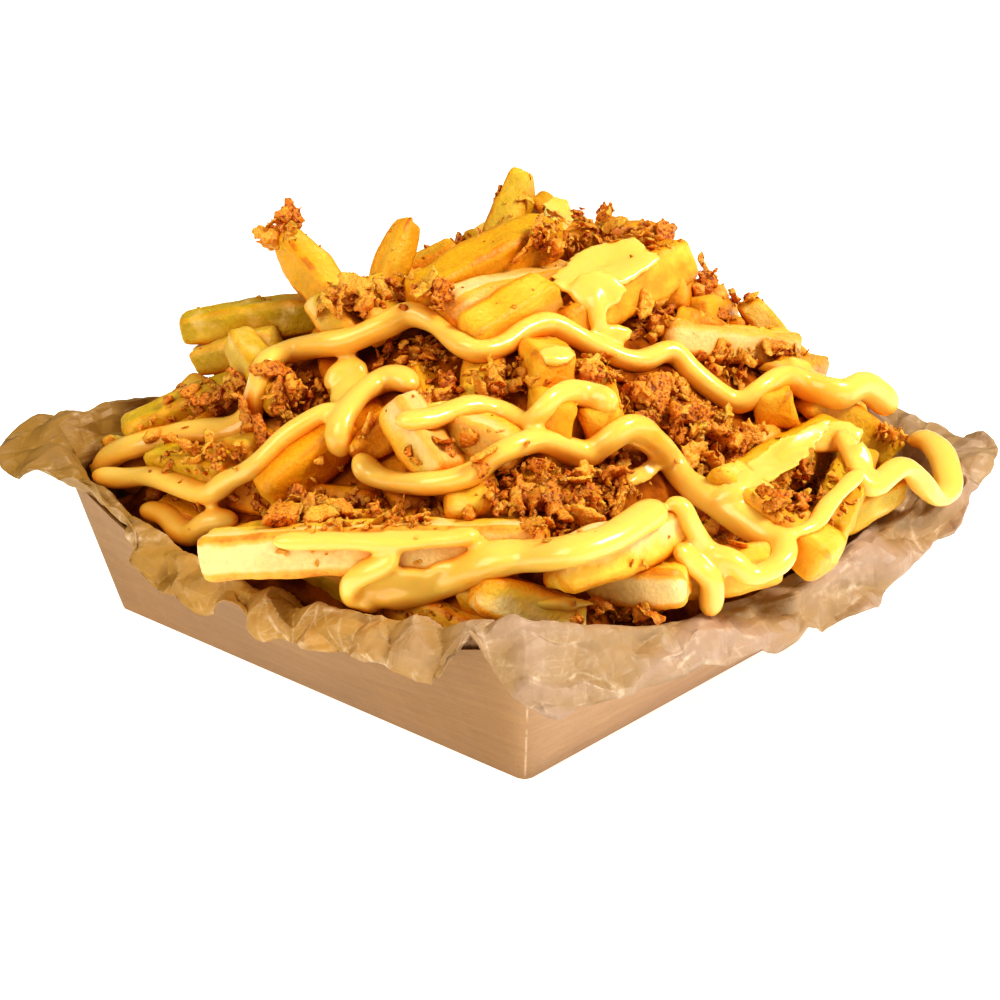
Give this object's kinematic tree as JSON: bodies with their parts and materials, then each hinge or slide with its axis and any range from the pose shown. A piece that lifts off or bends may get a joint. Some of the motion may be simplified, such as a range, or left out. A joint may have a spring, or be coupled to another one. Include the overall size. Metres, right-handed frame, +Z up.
{
  "type": "cheese fries",
  "caption": "Heap of thick-cut fries with cheese sauce and crisp fried onion, in a square board tray lined with greaseproof paper.",
  "frame": {"origin": "middle of the tray's underside", "axes": "+Z up; X and Y along the tray's sides; the corner at +X -Y is the one nearest to the picture's viewpoint"},
  "size_m": [0.1777, 0.1877, 0.0976],
  "materials": {
    "tray": "unbleached kraft board, matt, with fine fibres",
    "paper": "brown greaseproof paper, thin and translucent, with pale crease lines and a faint wax sheen",
    "food": "fried potato, cream with golden edges, with glossy yellow cheese sauce and brown crisp onion"
  },
  "bodies": {
    "root": {"tray": "tray", "paper": "paper", "cheese_fries": "food"}
  },
  "joints": []
}
